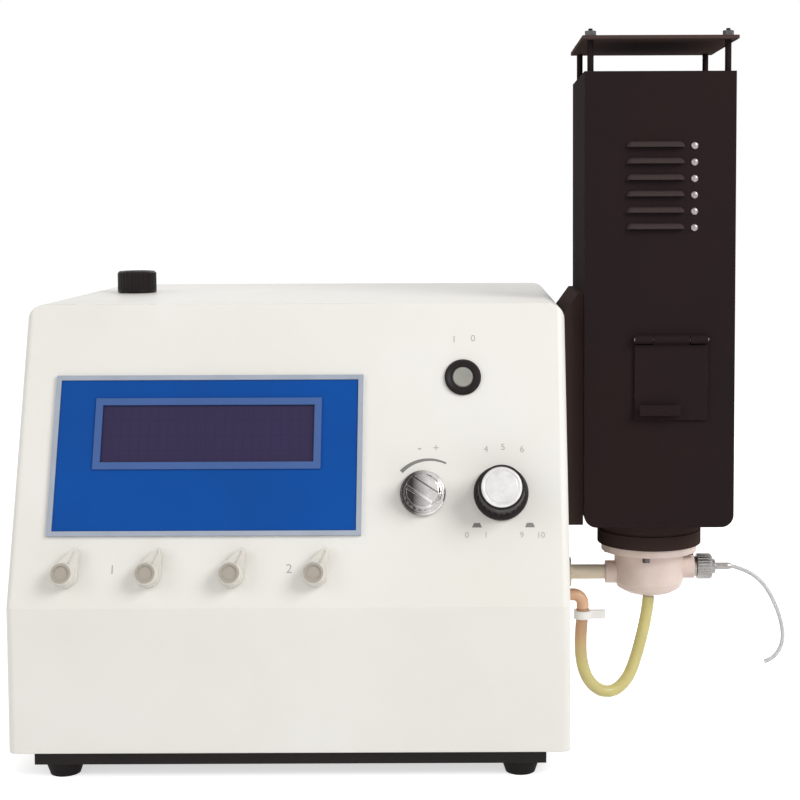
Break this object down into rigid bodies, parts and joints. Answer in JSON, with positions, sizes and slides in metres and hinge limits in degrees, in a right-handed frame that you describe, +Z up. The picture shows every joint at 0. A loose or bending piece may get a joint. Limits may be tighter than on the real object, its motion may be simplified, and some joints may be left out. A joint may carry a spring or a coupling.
{
  "type": "flame photometer",
  "caption": "Bench flame photometer: white cabinet with sloped control front, blue display panel, black burner chimney on the right, nebuliser and looped gas hose.",
  "frame": {"origin": "on the bench, under the middle of the instrument without its soft tubes", "axes": "+Z up, the control front faces -Y, the burner chimney is on the +X side"},
  "size_m": [0.5472, 0.367, 0.5066],
  "materials": {
    "cabinet_paint": "warm white powder coat",
    "black_paint": "satin brown-black stove enamel",
    "foot_rubber": "moulded rubber",
    "screw_steel": "plated steel",
    "bezel_plastic": "pale grey",
    "blue_film": "printed blue film",
    "rim_plastic": "paler blue rim",
    "dark_window": "smoked window",
    "board": "green circuit board",
    "grey_plastic": "pale grey moulding",
    "black_plastic": "black moulding",
    "button_plastic": "grey button",
    "brass": "turned brass",
    "knob_metal": "polished",
    "cap_metal": "spun aluminium disc",
    "clear_glass": "clear",
    "burner_steel": "machined steel",
    "chamber_resin": "pinkish beige moulding",
    "ceramic_white": "glazed insulator",
    "elbow_resin": "orange-beige fitting",
    "clip_white": "white clip",
    "hose_vinyl": "yellowish clear vinyl",
    "capillary_clear": "clear fine tube",
    "copper_pipe": "copper pipe",
    "filter_glass": "coloured filter",
    "core_steel": "laminated core"
  },
  "bodies": {
    "cabinet": {"base_tray": "black_paint", "rubber_feet": "foot_rubber", "front_panel": "cabinet_paint", "top_cover": "cabinet_paint", "rear_panel": "cabinet_paint", "cover_screws": "screw_steel", "display_bezel": "bezel_plastic", "display_overlay": "blue_film", "window_rim": "rim_plastic", "display_window": "dark_window", "display_board": "board", "trim_pots": "screw_steel", "ignition_switch": "black_plastic", "fuel_valve": "brass", "fine_valve": "brass", "air_regulator": "cap_metal", "chimney_spacer": "black_paint", "chimney_shell": "black_paint", "chimney_front": "black_paint", "door_hinge_pin": "screw_steel", "cap_posts": "black_paint", "cap_plate": "black_paint", "cap_nuts": "screw_steel", "flame_glass": "clear_glass", "burner_collar": "black_paint", "burner_head": "burner_steel", "mixing_chamber": "chamber_resin", "chamber_screws": "screw_steel", "igniter_electrode": "ceramic_white", "support_arm": "chamber_resin", "nebulizer_body": "burner_steel", "gas_elbow": "elbow_resin", "hose_clip": "clip_white", "gas_hose": "hose_vinyl", "sample_capillary": "capillary_clear", "lens_barrel": "black_plastic", "condenser_lens": "clear_glass", "filter_block": "black_plastic", "optical_filters": "filter_glass", "photocells": "grey_plastic", "main_board": "board", "transformer": "core_steel", "mains_inlet": "black_plastic", "hose_tails": "brass", "fuel_pipes": "copper_pipe", "air_pipes": "copper_pipe"},
    "trim_knob_1": {"trim_knob_1": "grey_plastic"},
    "trim_knob_2": {"trim_knob_2": "grey_plastic"},
    "trim_knob_3": {"trim_knob_3": "grey_plastic"},
    "trim_knob_4": {"trim_knob_4": "grey_plastic"},
    "ignition_button": {"ignition_button": "button_plastic"},
    "fuel_control": {"fuel_knob": "black_plastic", "fuel_knob_cap": "cap_metal", "fuel_valve_stem": "brass"},
    "fine_control": {"fine_knob": "knob_metal", "fine_valve_stem": "brass"},
    "air_control": {"air_regulator_knob": "black_plastic"},
    "sight_door": {"chimney_door": "black_paint"},
    "power_rocker": {"power_rocker": "black_plastic"},
    "nebulizer_nut": {"nebulizer_nut": "screw_steel"}
  },
  "joints": [
    {"name": "trim_1_turn", "type": "hinge", "parent": "cabinet", "child": "trim_knob_1", "pos_m": [-0.21363, -0.1682, 0.13783], "axis": [0, -0.9413, 0.3377], "range_deg": [-126, 174]},
    {"name": "trim_2_turn", "type": "hinge", "parent": "cabinet", "child": "trim_knob_2", "pos_m": [-0.15843, -0.1682, 0.13783], "axis": [0, -0.9413, 0.3377], "range_deg": [-126, 174]},
    {"name": "trim_3_turn", "type": "hinge", "parent": "cabinet", "child": "trim_knob_3", "pos_m": [-0.10322, -0.1682, 0.13783], "axis": [0, -0.9413, 0.3377], "range_deg": [-126, 174]},
    {"name": "trim_4_turn", "type": "hinge", "parent": "cabinet", "child": "trim_knob_4", "pos_m": [-0.04802, -0.1682, 0.13783], "axis": [0, -0.9413, 0.3377], "range_deg": [-126, 174]},
    {"name": "igniter_press", "type": "slide", "parent": "cabinet", "child": "ignition_button", "axis": [0, 0.9413, -0.3377], "range_m": [0, 0.003], "stiffness_N_per_m": 400, "springref_m": -0.003},
    {"name": "fuel_turn", "type": "hinge", "parent": "cabinet", "child": "fuel_control", "pos_m": [0.07558, -0.15, 0.18857], "axis": [0, -0.9413, 0.3377], "range_deg": [-140, 140]},
    {"name": "fine_turn", "type": "hinge", "parent": "cabinet", "child": "fine_control", "pos_m": [0.02307, -0.15, 0.18857], "axis": [0, -0.9413, 0.3377], "range_deg": [-450, 450]},
    {"name": "air_turn", "type": "hinge", "parent": "cabinet", "child": "air_control", "pos_m": [-0.20692, 0.03701, 0.322], "axis": [0, 0, 1], "range_deg": [-360, 360]},
    {"name": "door_swing", "type": "hinge", "parent": "cabinet", "child": "sight_door", "pos_m": [0.19842, -0.0837, 0.286], "axis": [-1, 0, 0], "range_deg": [0, 110]},
    {"name": "power_rock", "type": "hinge", "parent": "cabinet", "child": "power_rocker", "pos_m": [-0.14292, 0.15851, 0.084], "axis": [-1, 0, 0], "range_deg": [0, 16]},
    {"name": "nebulizer_nut_turn", "type": "hinge", "parent": "cabinet", "child": "nebulizer_nut", "pos_m": [0.23233, -0.018, 0.107], "axis": [1, 0, 0], "range_deg": [-540, 0]}
  ]
}
